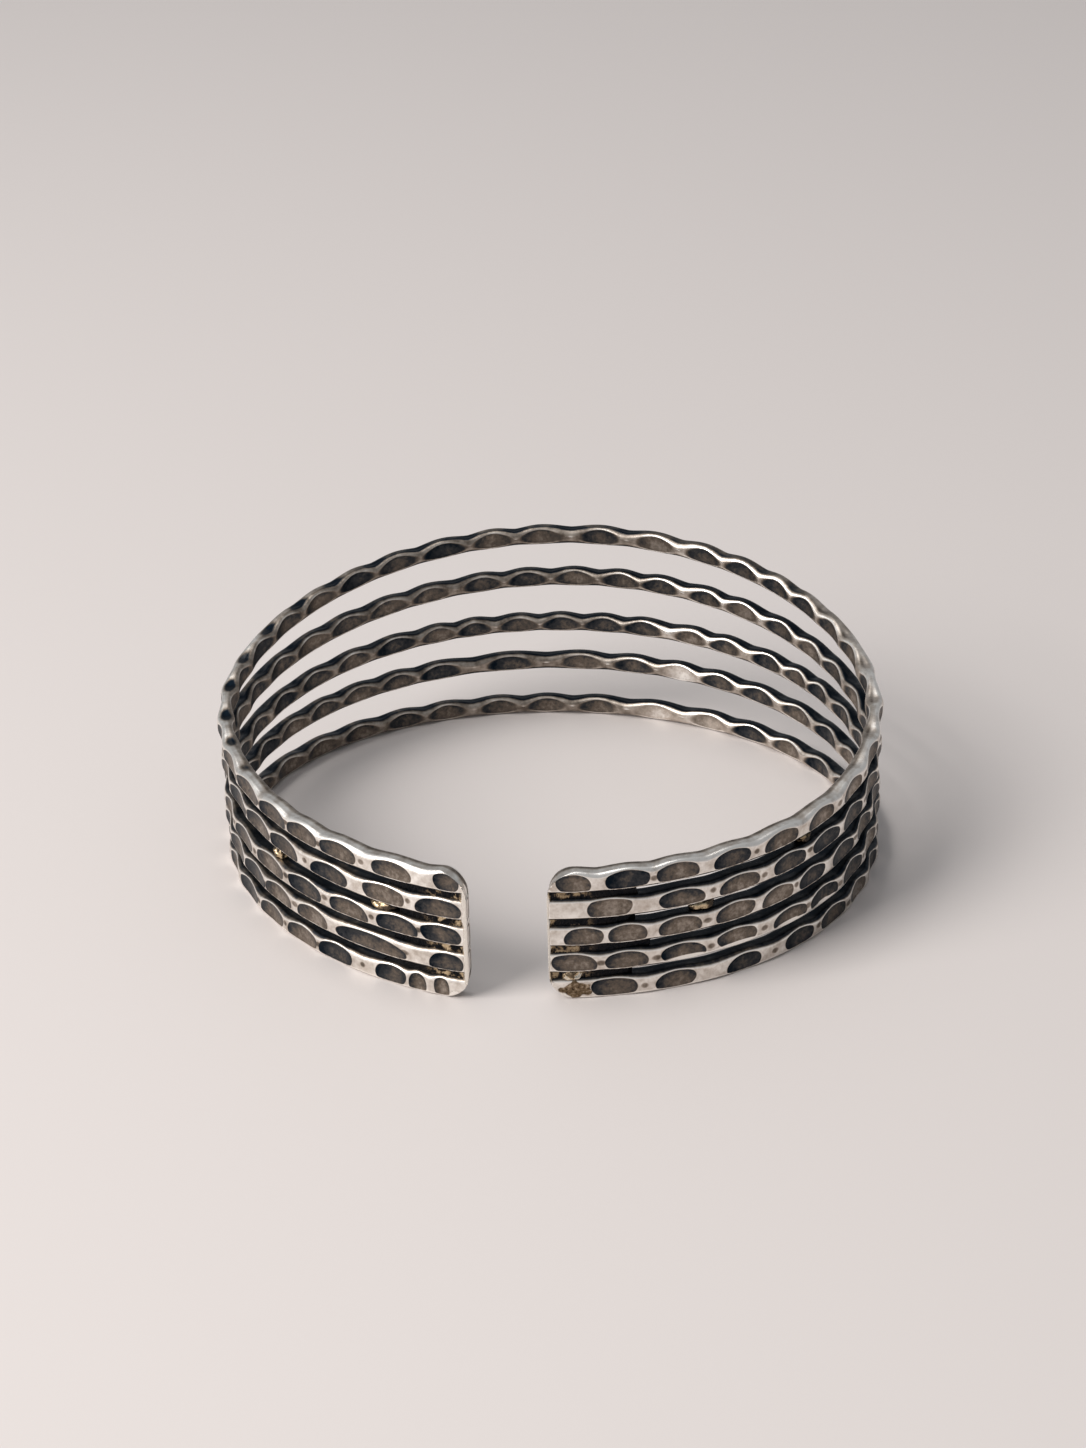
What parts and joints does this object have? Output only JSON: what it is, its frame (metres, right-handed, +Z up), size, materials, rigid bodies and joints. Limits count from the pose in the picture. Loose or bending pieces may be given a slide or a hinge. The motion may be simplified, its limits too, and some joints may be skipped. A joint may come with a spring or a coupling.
{
  "type": "hammered wire cuff bracelet",
  "caption": "Open oval cuff bracelet of hammered silver wires, fanned apart at the back and soldered side by side at two round-cornered terminals.",
  "frame": {"origin": "on the table under the middle of the cuff's box, where it lies on its side", "axes": "+Z up along the wrist, +X across the wrist to the right, +Y to the back of the cuff, away from the opening between the terminals"},
  "size_m": [0.0596, 0.0544, 0.0201],
  "materials": {
    "silver": "hammered silver, blackened in the marks and grooves and polished along the ridges"
  },
  "bodies": {
    "root": {"cuff": "silver"}
  },
  "joints": []
}
